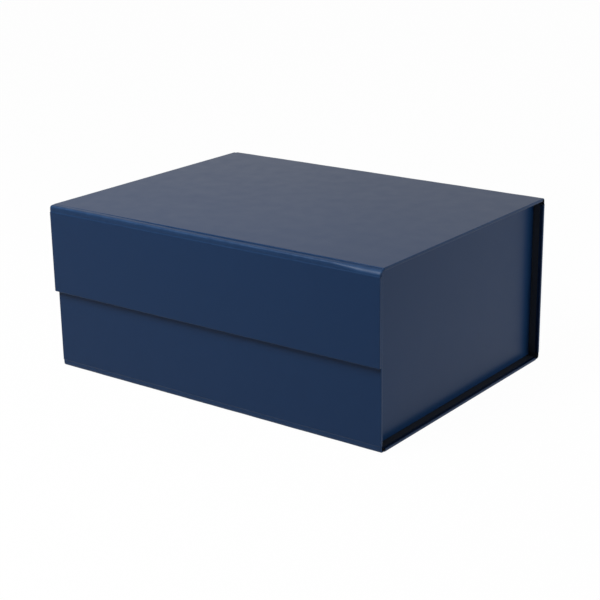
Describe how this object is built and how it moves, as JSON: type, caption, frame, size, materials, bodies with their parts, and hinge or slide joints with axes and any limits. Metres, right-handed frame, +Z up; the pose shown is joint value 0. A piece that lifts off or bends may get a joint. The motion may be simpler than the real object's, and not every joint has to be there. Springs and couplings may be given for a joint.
{
  "type": "folding archival box",
  "caption": "Rectangular folding archival box of paper-wrapped board, with a hinged lid, a magnetic front flap and side walls that fold in flat.",
  "frame": {"origin": "middle of the closed box's footprint, on the surface it stands on", "axes": "+X to the box's right seen from the front, +Y from the front flap to the back wall, +Z up"},
  "size_m": [0.33, 0.2494, 0.143],
  "materials": {
    "laminated_paper": "satin film-laminated",
    "lining_paper": "uncoated matt",
    "greyboard": "raw",
    "magnet": "nickel plated",
    "tape": "release film"
  },
  "bodies": {
    "case": {"base_board": "greyboard", "base_cover": "laminated_paper", "base_liner": "lining_paper", "front_wall_board": "greyboard", "front_wall_cover": "laminated_paper", "front_wall_liner": "lining_paper", "back_wall_board": "greyboard", "back_wall_cover": "laminated_paper", "back_wall_liner": "lining_paper", "front_crease": "laminated_paper", "back_crease": "laminated_paper", "left_front_wall_magnet": "magnet", "right_front_wall_magnet": "magnet", "left_strip_foot": "lining_paper", "right_strip_foot": "lining_paper"},
    "lid": {"lid_board": "greyboard", "lid_cover": "laminated_paper", "lid_liner": "lining_paper", "lid_hinge": "laminated_paper"},
    "flap": {"flap_board": "greyboard", "flap_cover": "laminated_paper", "flap_liner": "lining_paper", "flap_hinge": "laminated_paper", "left_flap_magnet": "magnet", "right_flap_magnet": "magnet"},
    "left_wall": {"left_wall_board": "greyboard", "left_wall_cover": "laminated_paper", "left_wall_liner": "lining_paper", "left_fold_strip": "lining_paper"},
    "right_wall": {"right_wall_board": "greyboard", "right_wall_cover": "laminated_paper", "right_wall_liner": "lining_paper", "right_fold_strip": "lining_paper"},
    "front_left_tab": {"front_left_tab": "lining_paper", "front_left_tab_tape": "tape"},
    "front_right_tab": {"front_right_tab": "lining_paper", "front_right_tab_tape": "tape"},
    "back_left_tab": {"back_left_tab": "lining_paper", "back_left_tab_tape": "tape"},
    "back_right_tab": {"back_right_tab": "lining_paper", "back_right_tab_tape": "tape"}
  },
  "joints": [
    {"name": "lid_opening", "type": "hinge", "parent": "case", "child": "lid", "pos_m": [0, 0.1228, 0.1411], "axis": [-1, 0, 0], "range_deg": [0, 205], "deforming": ["lid_hinge"]},
    {"name": "flap_opening", "type": "hinge", "parent": "lid", "child": "flap", "pos_m": [0, -0.1228, 0.1411], "axis": [-1, 0, 0], "range_deg": [0, 90], "deforming": ["flap_hinge"]},
    {"name": "left_wall_fold", "type": "hinge", "parent": "case", "child": "left_wall", "pos_m": [-0.1529, 0.0017, 0.0038], "axis": [0, -1, 0], "range_deg": [-90, 0]},
    {"name": "front_left_tab_fold", "type": "hinge", "parent": "left_wall", "child": "front_left_tab", "pos_m": [-0.15275, -0.118, 0.0715], "axis": [0, 0, -1], "range_deg": [-90, 0]},
    {"name": "back_left_tab_fold", "type": "hinge", "parent": "left_wall", "child": "back_left_tab", "pos_m": [-0.15275, 0.1214, 0.0715], "axis": [0, 0, 1], "range_deg": [-90, 0]},
    {"name": "right_wall_fold", "type": "hinge", "parent": "case", "child": "right_wall", "pos_m": [0.1529, 0.0017, 0.0038], "axis": [0, 1, 0], "range_deg": [-90, 0]},
    {"name": "front_right_tab_fold", "type": "hinge", "parent": "right_wall", "child": "front_right_tab", "pos_m": [0.15275, -0.118, 0.0715], "axis": [0, 0, 1], "range_deg": [-90, 0]},
    {"name": "back_right_tab_fold", "type": "hinge", "parent": "right_wall", "child": "back_right_tab", "pos_m": [0.15275, 0.1214, 0.0715], "axis": [0, 0, -1], "range_deg": [-90, 0]}
  ],
  "couplings": [
    {"joint": "front_left_tab_fold", "follows": "left_wall_fold", "ratio": 1},
    {"joint": "back_left_tab_fold", "follows": "left_wall_fold", "ratio": 1},
    {"joint": "front_right_tab_fold", "follows": "right_wall_fold", "ratio": 1},
    {"joint": "back_right_tab_fold", "follows": "right_wall_fold", "ratio": 1}
  ]
}
